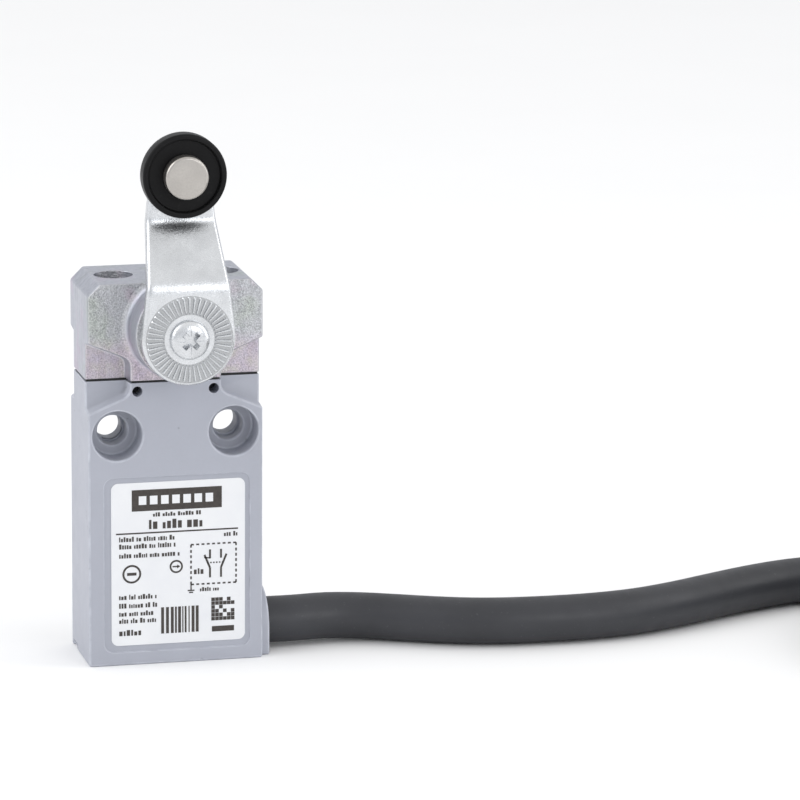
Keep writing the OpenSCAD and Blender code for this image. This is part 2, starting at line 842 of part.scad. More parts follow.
body_casting();
bottom_plate();
potting_resin();
label();
head_casting();
head_gasket();
head_screws();
shaft_bush();
shaft_seal();
plunger_guide();
guide_pins();
contact_base();
contact_cover();
nc_contacts();
no_contacts();
earth_tab();
earth_screw();
cable_grommet();
cable_clamp();
cable_entry();
core_black();
core_black_white();
core_brown();
core_blue();
core_green_yellow();
shaft();
cam();
cam_pin();
shaft_clip();
lever();
lever_screw();
roller_washer();
roller_pin();
roller();
roller_bush();
plunger();
return_spring();
contact_plunger();
contact_carriage();
nc_bridge();
no_bridge();
carriage_spring();
cable_run();
cable_coil();
coil_tie();
tail_black();
tail_black_white();
tail_brown();
tail_blue();
tail_green_yellow();
tail_ferrules();
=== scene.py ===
import json
import math
import random

import bmesh
import bpy
from mathutils import Matrix, Vector


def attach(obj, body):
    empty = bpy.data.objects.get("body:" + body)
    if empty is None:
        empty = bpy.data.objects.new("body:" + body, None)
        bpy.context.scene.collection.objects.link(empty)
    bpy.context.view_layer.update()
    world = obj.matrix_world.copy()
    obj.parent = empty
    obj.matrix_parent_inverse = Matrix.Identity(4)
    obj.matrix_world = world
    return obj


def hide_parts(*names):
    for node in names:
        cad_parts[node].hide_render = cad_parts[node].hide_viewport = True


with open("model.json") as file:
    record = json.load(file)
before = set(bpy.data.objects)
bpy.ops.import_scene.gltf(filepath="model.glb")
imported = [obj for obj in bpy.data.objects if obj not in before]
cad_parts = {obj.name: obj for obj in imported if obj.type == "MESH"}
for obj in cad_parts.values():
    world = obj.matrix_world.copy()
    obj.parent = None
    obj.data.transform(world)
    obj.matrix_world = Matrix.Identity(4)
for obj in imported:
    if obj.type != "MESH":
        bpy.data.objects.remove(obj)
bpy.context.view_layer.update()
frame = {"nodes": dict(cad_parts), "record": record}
MM = 0.001
TAU = 2 * math.pi

# Camera: where it stands, where it looks, its roll and its lens
cam_data = bpy.data.cameras.new("camera")
camera = bpy.data.objects.new("camera", cam_data)
bpy.context.scene.collection.objects.link(camera)
bpy.context.scene.camera = camera
CAM_POS = Vector((-0.1782, -0.8787, 0.2475))
YAW, PITCH, ROLL = (math.radians(a) for a in (14.0, 12.78, 0.41))
forward = Vector(
    (math.sin(YAW) * math.cos(PITCH), math.cos(YAW) * math.cos(PITCH), -math.sin(PITCH))
)
right = Vector((math.cos(YAW), -math.sin(YAW), 0))
up = right.cross(forward)
cam_x = math.cos(ROLL) * right + math.sin(ROLL) * up
cam_y = -math.sin(ROLL) * right + math.cos(ROLL) * up
camera.matrix_world = Matrix(
    [
        [cam_x[i], cam_y[i], -forward[i], CAM_POS[i]] if i < 3 else [0, 0, 0, 1]
        for i in range(4)
    ]
)
cam_data.lens = 243.4
cam_data.sensor_width = 36
cam_data.clip_start, cam_data.clip_end = 0.05, 20
bpy.context.scene.view_settings.view_transform = "Standard"
bpy.context.scene.view_settings.look = "None"


# ---------------------------------------------------------------- the cable's route
ROUTE = [
    (16.6, 0, 4.5), (22, 0, 4.5), (28, 0.8, 4.4), (34, 0.2, 4.2), (40, -2, 4.1),
    (46, -4.8, 4.1), (52, -7, 4.1), (58, -8.2, 4.1), (66, -8.7, 4.1), (74, -8.4, 4.1),
    (82, -6.9, 4.1), (90, -3.8, 4.1), (98, 0.2, 4.1), (106, 4, 4.1), (114, 6.8, 4.1),
    (124, 8, 4.1), (140, 8, 4.1), (160, 8, 4.1),
]
COIL = Vector((160, -38.5, 0))
R_OUTER, R_INNER, R_END = 46.5, 38.5, 30.5
# (start, sweep) in degrees of coil: in beside the outer turn, up on top, down inside the turns
GO_IN, GO_UP, GO_DOWN = (260, 100), (570, 150), (830, 150)
FLOOR_Z = 4.1
CABLE_D = 8.0
CABLE_LENGTH = 1000.0


def ease(t):
    """From 0 to 1 with a smooth start and end."""
    return t**3 * (10 - 15 * t + 6 * t * t)


def eased(swept, stretch):
    """How far through the (start, sweep) stretch the coil is, eased and clamped."""
    start, sweep = stretch
    return ease(min(1, max(0, (swept - start) / sweep)))


def beside(centre_r, angle):
    """Radius and height of a turn that lies against the floor's turn of that radius."""
    a = math.radians(angle)
    return centre_r + CABLE_D * math.cos(a), FLOOR_Z + CABLE_D * math.sin(a)


def coil_point(angle, r, z):
    a = math.radians(angle)
    return Vector((COIL.x + r * math.cos(a), COIL.y + r * math.sin(a), z))


def coil_state(swept):
    """Radius and height of the cable's axis after that many degrees of coil, clockwise from 90."""
    if swept < 360:
        return R_OUTER - CABLE_D * eased(swept, GO_IN), FLOOR_Z
    if swept < GO_UP[0]:
        return R_INNER, FLOOR_Z
    if swept < sum(GO_UP):
        # up beside the outer turn and over it
        return beside(coil_state(swept - 360)[0], 180 - 120 * eased(swept, GO_UP))
    # along the valley between the two turns, then down past the inner one to the floor
    return beside(R_INNER, 60 + 120 * eased(swept, GO_DOWN))


def cable_points():
    """Points in mm along the cable, some way past its end."""
    points = [Vector(p) for p in ROUTE]
    for swept in range(10, 1300, 10):
        points.append(coil_point(90 - swept, *coil_state(swept)))
    return points


def smooth_line(pts, steps):
    """Centripetal Catmull-Rom line through the points."""
    out = []
    n = len(pts)
    for i in range(n - 1):
        p0 = pts[i - 1] if i > 0 else pts[0] * 2 - pts[1]
        p1, p2 = pts[i], pts[i + 1]
        p3 = pts[i + 2] if i + 2 < n else pts[-1] * 2 - pts[-2]
        t1 = (p1 - p0).length ** 0.5
        t2 = t1 + (p2 - p1).length ** 0.5
        t3 = t2 + (p3 - p2).length ** 0.5
        for k in range(steps):
            t = t1 + (t2 - t1) * k / steps
            a1 = p0 * ((t1 - t) / t1) + p1 * (t / t1)
            a2 = p1 * ((t2 - t) / (t2 - t1)) + p2 * ((t - t1) / (t2 - t1))
            a3 = p2 * ((t3 - t) / (t3 - t2)) + p3 * ((t - t2) / (t3 - t2))
            b1 = a1 * ((t2 - t) / t2) + a2 * (t / t2)
            b2 = a2 * ((t3 - t) / (t3 - t1)) + a3 * ((t - t1) / (t3 - t1))
            out.append(b1 * ((t2 - t) / (t2 - t1)) + b2 * ((t - t1) / (t2 - t1)))
    out.append(pts[-1])
    return out


def cut_to(line, length):
    """The line's first part of that length."""
    out, run = [line[0]], 0.0
    for a, b in zip(line, line[1:]):
        d = (b - a).length
        if run + d >= length:
            out.append(a + (b - a) * ((length - run) / d))
            return out
        run += d
        out.append(b)
    return out


CABLE_LINE = cut_to(smooth_line(cable_points(), 3), CABLE_LENGTH)
END = CABLE_LINE[-1]
END_ANGLE = math.degrees(math.atan2(END.y - COIL.y, END.x - COIL.x))


# ---------------------------------------------------------------- mesh helpers
def link(obj, body):
    bpy.context.scene.collection.objects.link(obj)
    if body is not None:
        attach(obj, body)
    return obj


def set_smooth(mesh, angle=32):
    mesh.polygons.foreach_set("use_smooth", [True] * len(mesh.polygons))
    mesh.set_sharp_from_angle(angle=math.radians(angle))
    mesh.update()


def make(name, verts, faces, body="housing", angle=32):
    """An object from points in mm."""
    mesh = bpy.data.meshes.new(name)
    mesh.from_pydata([tuple(c * MM for c in v) for v in verts], [], faces)
    mesh.validate()
    bm = bmesh.new()
    bm.from_mesh(mesh)
    bmesh.ops.remove_doubles(bm, verts=bm.verts, dist=1e-7)
    bmesh.ops.recalc_face_normals(bm, faces=bm.faces)
    bm.to_mesh(mesh)
    bm.free()
    set_smooth(mesh, angle)
    return link(bpy.data.objects.new(name, mesh), body)


def fillet(profile, radii, steps=5):
    """The polyline with each inner corner rounded to its radius."""
    pts = [Vector(p) for p in profile]
    out = [pts[0]]
    for i in range(1, len(pts) - 1):
        r = radii[i] if isinstance(radii, (list, tuple)) else radii
        a, p, b = pts[i - 1], pts[i], pts[i + 1]
        u, v = (a - p), (b - p)
        lu, lv = u.length, v.length
        u.normalize()
        v.normalize()
        half = math.acos(max(-1, min(1, u.dot(v)))) / 2
        if r <= 0 or half > math.radians(89):
            out.append(p)
            continue
        cut = min(r / math.tan(half), 0.48 * lu, 0.48 * lv)
        r = cut * math.tan(half)
        mid = p + (u + v).normalized() * (r / math.sin(half))
        s0, s1 = p + u * cut - mid, p + v * cut - mid
        turn = math.atan2(s0.x * s1.y - s0.y * s1.x, s0.dot(s1))
        for k in range(steps + 1):
            t = turn * k / steps
            out.append(
                mid
                + Vector(
                    (
                        s0.x * math.cos(t) - s0.y * math.sin(t),
                        s0.x * math.sin(t) + s0.y * math.cos(t),
                    )
                )
            )
    out.append(pts[-1])
    return out


def lathe(name, profile, centre_z, body="housing", sides=96, closed=False, angle=32):
    """A profile of (radius, y) points turned round the Y axis at height centre_z."""
    verts, faces = [], []
    n = len(profile)
    for r, y in profile:
        for k in range(sides):
            a = TAU * k / sides
            verts.append((max(r, 0.0) * math.cos(a), y, max(r, 0.0) * math.sin(a) + centre_z))
    for i in range(n if closed else n - 1):
        j = (i + 1) % n
        for k in range(sides):
            m = (k + 1) % sides
            quad = (i * sides + k, i * sides + m, j * sides + m, j * sides + k)
            if profile[i][0] <= 1e-6:
                quad = (quad[0], quad[2], quad[3])
            elif profile[j][0] <= 1e-6:
                quad = quad[:3]
            faces.append(quad)
    return make(name, verts, faces, body, angle)


def prism(name, outline, y0, y1):
    """A front-view outline (x, z) made solid from y0 to y1."""
    n = len(outline)
    verts = [(x, y, z) for y in (y0, y1) for x, z in outline]
    faces = [tuple(range(n)), tuple(range(2 * n - 1, n - 1, -1))]
    faces += [(i, (i + 1) % n, n + (i + 1) % n, n + i) for i in range(n)]
    return make(name, verts, faces, None)


def apply_modifiers(obj):
    """Puts what the modifiers make into the object's own mesh."""
    mesh = bpy.data.meshes.new_from_object(
        obj.evaluated_get(bpy.context.evaluated_depsgraph_get())
    )
    obj.modifiers.clear()
    obj.data = mesh


def boolean(obj, other, operation):
    """Cuts or joins with another object, which is then removed."""
    mod = obj.modifiers.new("b", "BOOLEAN")
    mod.object, mod.operation, mod.solver = other, operation, "EXACT"
    apply_modifiers(obj)
    bpy.data.objects.remove(other, do_unlink=True)


def join(obj, *others):
    """Adds the others' meshes to obj's own."""
    bm = bmesh.new()
    bm.from_mesh(obj.data)
    for other in others:
        bm.from_mesh(other.data)
    bm.to_mesh(obj.data)
    bm.free()
    for other in others:
        bpy.data.objects.remove(other, do_unlink=True)


def mark_faces(mesh, name, values):
    """Stores one number a face, which a material reads by its name."""
    mesh.attributes.new(name, "FLOAT", "FACE").data.foreach_set("value", values)


def unite_facets(bm, distance):
    """Joins doubled points, and facets that lie in one plane."""
    bmesh.ops.remove_doubles(bm, verts=bm.verts, dist=distance)
    bmesh.ops.dissolve_limit(
        bm, angle_limit=math.radians(0.5), verts=bm.verts, edges=bm.edges
    )


def cad_copy(name, node, body="housing"):
    """A new object with a CAD node's mesh, its flat facets joined up."""
    bm = bmesh.new()
    bm.from_mesh(frame["nodes"][node].data)
    unite_facets(bm, 2e-6)
    mesh = bpy.data.meshes.new(name)
    bm.to_mesh(mesh)
    bm.free()
    return link(bpy.data.objects.new(name, mesh), body)


# edges that turn by more degrees than this are rounded, in this many steps
SHARP_ANGLE, ROUND_STEPS = 28, 3


def round_edges(obj, width, weight):
    """Rounds sharp edges, each by its weight times the width, and marks the new faces in wear."""
    bm = bmesh.new()
    bm.from_mesh(obj.data)
    unite_facets(bm, 1e-6)
    layer = bm.edges.layers.float.new("bevel_weight_edge")
    for e in bm.edges:
        if len(e.link_faces) == 2 and e.calc_face_angle(0) > math.radians(SHARP_ANGLE):
            e[layer] = weight(*(c / MM for c in (e.verts[0].co + e.verts[1].co) / 2))
    bm.to_mesh(obj.data)
    bm.free()
    points = [v.co for v in obj.data.vertices]
    low, high = ([pick(p[i] for p in points) for i in range(3)] for pick in (min, max))
    # two slots, so that the modifier can mark its new faces with the second
    obj.data.materials.append(None)
    obj.data.materials.append(None)
    mod = obj.modifiers.new("round", "BEVEL")
    mod.limit_method, mod.offset_type = "WEIGHT", "OFFSET"
    mod.width, mod.segments, mod.material = width * MM, ROUND_STEPS, 1
    mod.use_clamp_overlap, mod.loop_slide = False, True
    apply_modifiers(obj)
    mesh = obj.data
    # nothing may bulge past the piece's own box
    for v in mesh.vertices:
        v.co = [min(max(c, a), b) for c, a, b in zip(v.co, low, high)]
    marks = [float(f.material_index) for f in mesh.polygons]
    mesh.polygons.foreach_set("material_index", [0] * len(marks))
    mark_faces(mesh, "wear", marks)
    set_smooth(mesh, 40)
    mod = obj.modifiers.new("normals", "WEIGHTED_NORMAL")
    mod.keep_sharp = True
    return obj


def done(obj, slot, *nodes):
    """Gives the piece its material and hides the CAD nodes that it stands in for."""
    if nodes:
        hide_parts(*nodes)
    obj.data.materials.clear()
    obj.data.materials.append(MATERIALS[slot])
    return obj


# ---------------------------------------------------------------- materials
class Shader:
    """A material's node tree, with short ways to add the usual nodes."""

    def __init__(self, name, **inputs):
        self.mat = bpy.data.materials.new(name)
        self.mat.use_nodes = True
        self.nodes, self.links = self.mat.node_tree.nodes, self.mat.node_tree.links
        self.bsdf = self.nodes["Principled BSDF"]
        self.place = self.nodes.new("ShaderNodeTexCoord").outputs["Object"]
        for key, value in inputs.items():
            self.feed(key.replace("_", " "), value)

    def feed(self, socket, value):
        self.join(value, self.bsdf.inputs[socket])

    def join(self, source, target):
        if isinstance(source, bpy.types.NodeSocket):
            self.links.new(source, target)
        else:
            target.default_value = (*source, 1) if isinstance(source, tuple) else source

    def stretch(self, z_scale):
        """The place with its height scaled, for upright streaks."""
        node = self.nodes.new("ShaderNodeMapping")
        node.inputs["Scale"].default_value = (1, 1, z_scale)
        self.links.new(self.place, node.inputs["Vector"])
        return node.outputs[0]

    def noise(self, size_mm, detail=3.0, rough=0.55, where=None, twist=0.0):
        """Noise from 0 to 1 with features of about that size."""
        node = self.nodes.new("ShaderNodeTexNoise")
        node.inputs["Scale"].default_value = 1000.0 / size_mm
        node.inputs["Detail"].default_value = detail
        node.inputs["Roughness"].default_value = rough
        node.inputs["Distortion"].default_value = twist
        self.links.new(where or self.place, node.inputs["Vector"])
        return node.outputs["Fac"]

    def span(self, value, a, b, lo=0.0, hi=1.0):
        """Maps a..b onto lo..hi, clamped."""
        node = self.nodes.new("ShaderNodeMapRange")
        self.links.new(value, node.inputs["Value"])
        for key, v in (("From Min", a), ("From Max", b), ("To Min", lo), ("To Max", hi)):
            node.inputs[key].default_value = v
        return node.outputs[0]

    def math(self, kind, a, b=0.0):
        node = self.nodes.new("ShaderNodeMath")
        node.operation = kind
        self.join(a, node.inputs[0])
        self.join(b, node.inputs[1])
        return node.outputs[0]

    def mix(self, fac, a, b, mode="MIX"):
        node = self.nodes.new("ShaderNodeMix")
        node.data_type, node.blend_type = "RGBA", mode
        self.join(fac, node.inputs[0])
        self.join(a, node.inputs[6])
        self.join(b, node.inputs[7])
        return node.outputs[2]

    def ramp(self, fac, *stops):
        node = self.nodes.new("ShaderNodeValToRGB")
        while len(node.color_ramp.elements) < len(stops):
            node.color_ramp.elements.new(0.5)
        for element, (at, colour) in zip(node.color_ramp.elements, stops):
            element.position, element.color = at, (*colour, 1)
        self.links.new(fac, node.inputs[0])
        return node.outputs[0]

    def axis(self, which, kind="place"):
        """One coordinate of the point in metres, or of its normal."""
        node = self.nodes.new("ShaderNodeSeparateXYZ")
        if kind == "place":
            self.links.new(self.place, node.inputs[0])
        else:
            coord = self.nodes.new("ShaderNodeTexCoord")
            self.links.new(coord.outputs["Normal"], node.inputs[0])
        return node.outputs[which]

    def mark(self, name):
        """A face attribute: wear on rounded edges, painted shade in the lever's grooves, band on a
        core's stripe.
        """
        node = self.nodes.new("ShaderNodeAttribute")
        node.attribute_name = name
        return node.outputs["Fac"]

    def bump(self, *layers):
        """Layers of (height, depth in mm)."""
        normal = None
        for height, depth in layers:
            node = self.nodes.new("ShaderNodeBump")
            node.inputs["Strength"].default_value = 1.0
            node.inputs["Distance"].default_value = depth * MM
            self.links.new(height, node.inputs["Height"])
            if normal is not None:
                self.links.new(normal, node.inputs["Normal"])
            normal = node.outputs[0]
        self.links.new(normal, self.bsdf.inputs["Normal"])
        return self


def shade(colour, k):
    return tuple(min(1.0, c * k) for c in colour)


def painted_zinc():
    m = Shader("painted_zinc")
    base = (0.375, 0.389, 0.443)
    cloud = m.noise(9, 4)
    fine = m.noise(0.5, 2)
    colour = m.mix(m.span(cloud, 0.3, 0.7), shade(base, 0.97), shade(base, 1.03))
    colour = m.mix(m.span(fine, 0.35, 0.65, 0, 0.25), colour, shade(base, 1.06))
    specks = m.span(m.noise(1.3, 1), 0.76, 0.79)
    colour = m.mix(m.math("MULTIPLY", specks, 0.5), colour, shade(base, 0.55))
    worn = m.math("MULTIPLY", m.mark("wear"), m.span(m.noise(2.5, 3), 0.35, 0.7, 0.1, 0.75))
    colour = m.mix(worn, colour, (0.55, 0.57, 0.63))
    m.feed("Base Color", colour)
    m.feed("Roughness", m.span(m.noise(3, 3), 0.3, 0.7, 0.40, 0.50))
    m.bump((m.noise(1.1, 2), 0.02), (m.noise(0.16, 2), 0.006))
    return m.mat


def bare_zinc():
    m = Shader("bare_zinc")
    # which way the surface looks: the front and back are granular, the rest is smoother
    facing = m.math("ABSOLUTE", m.axis(1, "normal"))
    front = m.span(facing, 0.6, 0.9)
    grain = m.noise(0.26, 3, 0.6)
    patch = m.noise(5.5, 2, 0.5, twist=0.4)
    base = m.ramp(
        patch,
        (0.30, (0.66, 0.70, 0.66)),
        (0.44, (0.70, 0.71, 0.735)),
        (0.56, (0.72, 0.73, 0.76)),
        (0.72, (0.75, 0.68, 0.745)),
    )
    # the lower recesses are pinker
    low = m.span(m.axis(2), 0.0572, 0.0545)
    tint = m.ramp(
        m.noise(2.6, 3),
        (0.32, (0.74, 0.70, 0.60)),
        (0.50, (0.78, 0.66, 0.74)),
        (0.68, (0.72, 0.62, 0.78)),
    )
    base = m.mix(m.math("MULTIPLY", m.math("MULTIPLY", low, front), 0.75), base, tint)
    sparkle = m.mix(m.span(grain, 0.30, 0.72), shade((0.70, 0.71, 0.74), 0.3), (1.0, 1.0, 1.0))
    base = m.mix(m.math("MULTIPLY", front, 0.8), base, sparkle, "MULTIPLY")
    streak = m.noise(1.2, 3, 0.6, m.stretch(0.18))
    base = m.mix(m.span(streak, 0.35, 0.7, 0.0, 0.22), base, (0.86, 0.87, 0.90))
    base = m.mix(m.math("MULTIPLY", m.mark("wear"), 0.25), base, (0.88, 0.88, 0.90))
    # the sides are duller than the front, with faint upright streaks
    side = m.math("SUBTRACT", 1.0, front)
    upright = m.span(m.noise(0.8, 3, 0.6, m.stretch(0.12)), 0.3, 0.7)
    side_tone_and_groove_shade = m.mix(upright, (0.56, 0.57, 0.62), (0.72, 0.73, 0.77))
    base = m.mix(side, base, side_tone_and_groove_shade, "MULTIPLY")
    m.feed("Base Color", base)
    m.feed("Metallic", 0.9)
    m.feed("Roughness", m.span(m.noise(0.9, 3), 0.3, 0.7, 0.36, 0.50))
    rough = m.math("MULTIPLY", grain, m.math("ADD", m.math("MULTIPLY", front, 0.85), 0.15))
    m.bump((rough, 0.2), (m.noise(1.8, 2), 0.03))
    return m.mat


def plated(name, base, rough=0.27, grain_mm=0.2, grain_depth=0.012, contrast=0.1):
    m = Shader(name, Metallic=1.0)
    cloud = m.noise(3.5, 4)
    grain = m.noise(grain_mm, 3, 0.65)
    colour = m.mix(m.span(cloud, 0.3, 0.7), shade(base, 1 - contrast), shade(base, 1.04))
    colour = m.mix(m.span(grain, 0.3, 0.7, 0, 0.5), colour, shade(base, 1 - 1.6 * contrast))
    colour = m.mix(m.math("MULTIPLY", m.mark("wear"), 0.5), colour, (0.93, 0.94, 0.95))
    # painted shade: marked faces are darkened towards half the base, as the shade between the
    # lever's ridges
    colour = m.mix(m.math("MULTIPLY", m.mark("side_tone_and_groove_shade"), 0.8), colour, shade(base, 0.5))
    m.feed("Base Color", colour)
    m.feed("Roughness", m.span(grain, 0.25, 0.75, rough - 0.05, rough + 0.08))
    m.bump((grain, grain_depth), (m.noise(2.2, 2), 0.02))
    return m.mat


def plastic(name, base, rough=0.45, grain_mm=0.25, depth=0.006, vary=0.12, spec=0.5, dust=0.04):
    m = Shader(name)
    m.feed("Specular IOR Level", spec)
    cloud = m.noise(6, 3)
    colour = m.mix(m.span(cloud, 0.3, 0.7), shade(base, 1 - vary), shade(base, 1 + vary))
    specks = m.span(m.noise(0.6, 2), 0.66, 0.74)
    colour = m.mix(m.math("MULTIPLY", specks, dust), colour, (0.6, 0.6, 0.6))
    colour = m.mix(m.math("MULTIPLY", m.mark("wear"), 0.12), colour, (0.5, 0.5, 0.52))
    m.feed("Base Color", colour)
    m.feed("Roughness", m.span(m.noise(1.5, 4), 0.3, 0.7, rough - 0.05, rough + 0.07))
    m.bump((m.noise(grain_mm, 2), depth), (m.noise(1.7, 2), depth))
    return m.mat


def jacket():
    m = Shader("cable_jacket")
    m.feed("Specular IOR Level", 0.45)
    cloud = m.noise(14, 3)
    base = (0.030, 0.031, 0.036)
    colour = m.mix(m.span(cloud, 0.3, 0.7), shade(base, 0.85), shade(base, 1.2))
    dust = m.span(m.noise(0.5, 2), 0.67, 0.75)
    colour = m.mix(m.math("MULTIPLY", dust, 0.05), colour, (0.5, 0.5, 0.5))
    m.feed("Base Color", colour)
    m.feed("Roughness", m.span(m.noise(2.2, 4), 0.3, 0.7, 0.40, 0.52))
    m.bump((m.noise(0.4, 2), 0.006), (m.noise(4.0, 2), 0.03))
    return m.mat


def two_colour_core(name, base, band):
    """Core insulation with a second colour in a strip along one side."""
    m = Shader(name, Roughness=0.35)
    colour = m.mix(m.mark("band"), base, band)
    colour = m.mix(m.span(m.noise(1.5, 3), 0.3, 0.7, 0, 0.15), colour, shade(base, 0.8))
    m.feed("Base Color", colour)
    m.feed("Roughness", m.span(m.noise(1.0, 3), 0.3, 0.7, 0.30, 0.42))
    m.bump((m.noise(0.3, 2), 0.004))
    return m.mat


def label_film():
    m = Shader("label_film")
    colour = m.mix(m.span(m.noise(5, 3), 0.3, 0.7), (0.74, 0.75, 0.775), (0.78, 0.79, 0.805))
    m.feed("Base Color", colour)
    m.feed("Roughness", m.span(m.noise(2, 3), 0.3, 0.7, 0.36, 0.46))
    m.bump((m.noise(1.5, 2), 0.004))
    return m.mat


def label_ink():
    m = Shader("label_ink")
    colour = m.mix(m.span(m.noise(0.5, 3), 0.3, 0.7), (0.030, 0.024, 0.021), (0.05, 0.042, 0.037))
    m.feed("Base Color", colour)
    m.feed("Roughness", m.span(m.noise(1, 2), 0.3, 0.7, 0.42, 0.52))
    m.bump((m.noise(0.3, 2), 0.002))
    return m.mat


MATERIALS = {
    "painted_zinc": painted_zinc(),
    "bare_zinc": bare_zinc(),
    "black_plastic": plastic("black_plastic", (0.03, 0.03, 0.032), 0.5),
    "resin": plastic("resin", (0.012, 0.012, 0.013), 0.22, 1.2, 0.01),
    "label_film": label_film(),
    "seal_rubber": plastic("seal_rubber", (0.014, 0.014, 0.014), 0.62, 0.2, 0.01),
    "plated_steel": plated("plated_steel", (0.74, 0.755, 0.775), 0.27, 0.3, 0.03, 0.16),
    "steel": plated("steel", (0.52, 0.52, 0.53), 0.33),
    "pin_steel": plated("pin_steel", (0.50, 0.475, 0.445), 0.36, 0.35, 0.008, 0.14),
    "bronze": plated("bronze", (0.62, 0.42, 0.20), 0.38, 0.2, 0.02, 0.16),
    "white_plastic": plastic("white_plastic", (0.72, 0.70, 0.64), 0.42, vary=0.04),
    "blue_plastic": plastic("blue_plastic", (0.035, 0.055, 0.12), 0.45),
    "red_plastic": plastic("red_plastic", (0.16, 0.03, 0.02), 0.42),
    "contact_brass": plated("contact_brass", (0.78, 0.58, 0.28), 0.28, 0.3, 0.006, 0.1),
    "roller_plastic": plastic(
        "roller_plastic", (0.0075, 0.0075, 0.008), 0.4, 0.3, 0.004, 0.2, spec=0.13, dust=0.01
    ),
    "cable_jacket": jacket(),
    "tie_plastic": plastic("tie_plastic", (0.68, 0.68, 0.65), 0.40, vary=0.05),
    "core_black": plastic("core_black", (0.015, 0.015, 0.016), 0.34),
    "core_black_white": two_colour_core(
        "core_black_white", (0.015, 0.015, 0.016), (0.75, 0.75, 0.74)
    ),
    "core_brown": plastic("core_brown", (0.12, 0.045, 0.018), 0.34),
    "core_blue": plastic("core_blue", (0.02, 0.09, 0.35), 0.34),
    "core_green_yellow": two_colour_core(
        "core_green_yellow", (0.04, 0.27, 0.05), (0.75, 0.62, 0.03)
    ),
    "tinned_ferrule": plated("tinned_ferrule", (0.74, 0.74, 0.76), 0.24, 0.2, 0.006, 0.08),
}
INK = label_ink()
# near-black steel for the guide pins: painted shade in their holes
PIN_HOLE_SHADE_STEEL = plated("pin_hole_painted_shade", (0.05, 0.05, 0.055), 0.5)
SLOT_OF = {p["node"]: p["material_slot"] for p in frame["record"]["subparts"]}
for node_name, node_obj in frame["nodes"].items():
    node_obj.data.materials.clear()
    # painted shade: the guide pins take a near-black steel, so that the two holes they sit in look
    # shaded
    dark = node_name == "guide_pins"
    node_obj.data.materials.append(PIN_HOLE_SHADE_STEEL if dark else MATERIALS[SLOT_OF[node_name]])


# ---------------------------------------------------------------- castings
FRONT_Y = -8.0
PIVOT_Z, ROLLER_Z = 58.6, 85.5
HEAD_Z, HEAD_TOP = 49.4, 66.2

body = cad_copy("body_casting_visual", "body_casting")
chip = prism(
    "chip", [(-15.6, -0.5), (-14.55, -0.5), (-14.8, 0.9), (-15.6, 1.3)], 3.2, 7.2
)
boolean(body, chip, "DIFFERENCE")


def body_weight(x, y, z):
    """How round an edge of the body is: sharp in the cavity, fine at the joint and the pocket."""
    x, back = abs(x), abs(y)
    if z < 0.05:
        return 1.0 if x > 13.8 or back > 7.2 else 0.0
    if math.hypot(x - 10, z - 40) < 4.6:
        return 1.0
    if x < 13.2 and back < 6.9 and z < 48.9:
        return 0.0
    if z > 48.9:
        return 0.35
    pocket = y < FRONT_Y + 0.4 and x < 13.3 and z < 33.5
    return 0.3 if pocket or math.hypot(x - 6.55, z - 47.55) < 1.2 else 1.0


round_edges(body, 0.34, body_weight)
done(body, "painted_zinc", "body_casting")

head = cad_copy("head_casting_visual", "head_casting")
BOSS_R, BOSS_FILLET = 8.2, 1.5
arc = [
    (
        BOSS_R - 0.02 + BOSS_FILLET * (1 - math.cos(math.radians(a))),
        FRONT_Y + 0.02 - BOSS_FILLET * (1 - math.sin(math.radians(a))),
    )
    for a in range(0, 91, 9)
]
ring = lathe(
    "ring",
    [(BOSS_R - 0.6, FRONT_Y + 0.02 - BOSS_FILLET)] + arc
    + [(BOSS_R - 0.02 + BOSS_FILLET, FRONT_Y + 0.3), (BOSS_R - 0.6, FRONT_Y + 0.3)],
    PIVOT_Z, None, closed=True,
)
zone = prism(
    "zone",
    [(-7.7, HEAD_Z), (7.7, HEAD_Z), (7.7, 51.9), (9.3, 53.4), (14.9, 56.0), (14.9, HEAD_TOP - 2),
     (12.9, HEAD_TOP), (-12.9, HEAD_TOP), (-14.9, HEAD_TOP - 2), (-14.9, 56.0), (-9.3, 53.4),
     (-7.7, 51.9)],
    FRONT_Y - 5, FRONT_Y + 0.25,
)
boolean(ring, zone, "INTERSECT")
boolean(head, ring, "UNION")


def head_weight(x, y, z):
    """How round an edge of the head is: sharp in the chamber, fine at the joint."""
    axis = math.hypot(x, z - PIVOT_Z)
    if y < FRONT_Y - 0.1:
        return 0.7 if axis > 8.0 else 0.0
    if axis < 5.0 or (abs(x) < 4.5 and abs(y) < 4.6 and z < PIVOT_Z + 0.1):
        return 0.0
    if z < HEAD_Z + 0.05:
        return 0.3 if max(abs(x) - 12, abs(y) - 4.6) > 0 else 0.0
    if z > HEAD_TOP - 0.1 and max(abs(x) - 12.6, abs(y) - 7.6) < 0:
        return 0.3
    if z > HEAD_TOP - 4 and max(abs(x) - 12.6, abs(y) - 7.6) < 0:
        return 0.0
    return 0.75 if z > HEAD_TOP - 4 or max(abs(x) - 7.4, abs(y) - 5) > 0 else 0.0


round_edges(head, 0.4, head_weight)
done(head, "bare_zinc", "head_casting")


# ---------------------------------------------------------------- lever
LEVER_L, LEVER_T = 26.9, 2.0
HUB_R, TIP_R = 7.9, 5.0
LEVER_Y, JOGGLE = -17.5, 6.5
BEND_Z0, BEND_Z1 = 67.5, 77.4
BEND_RADII = (0, 4.2, 3.6, 0)


def lever_path():
    """Middle line of the sheet in the side view, as (y, z) points with round bends."""
    mid_y = LEVER_Y - LEVER_T / 2
    half = LEVER_T / 2 * math.tan(math.atan2(JOGGLE, BEND_Z1 - BEND_Z0) / 2)
    line = [
        Vector((mid_y, PIVOT_Z - 20)),
        Vector((mid_y, BEND_Z0 - half)),
        Vector((mid_y + JOGGLE, BEND_Z1 - half)),
        Vector((mid_y + JOGGLE, ROLLER_Z + 20)),
    ]
    return fillet(line, BEND_RADII, 16)


LEVER_PATH = lever_path()


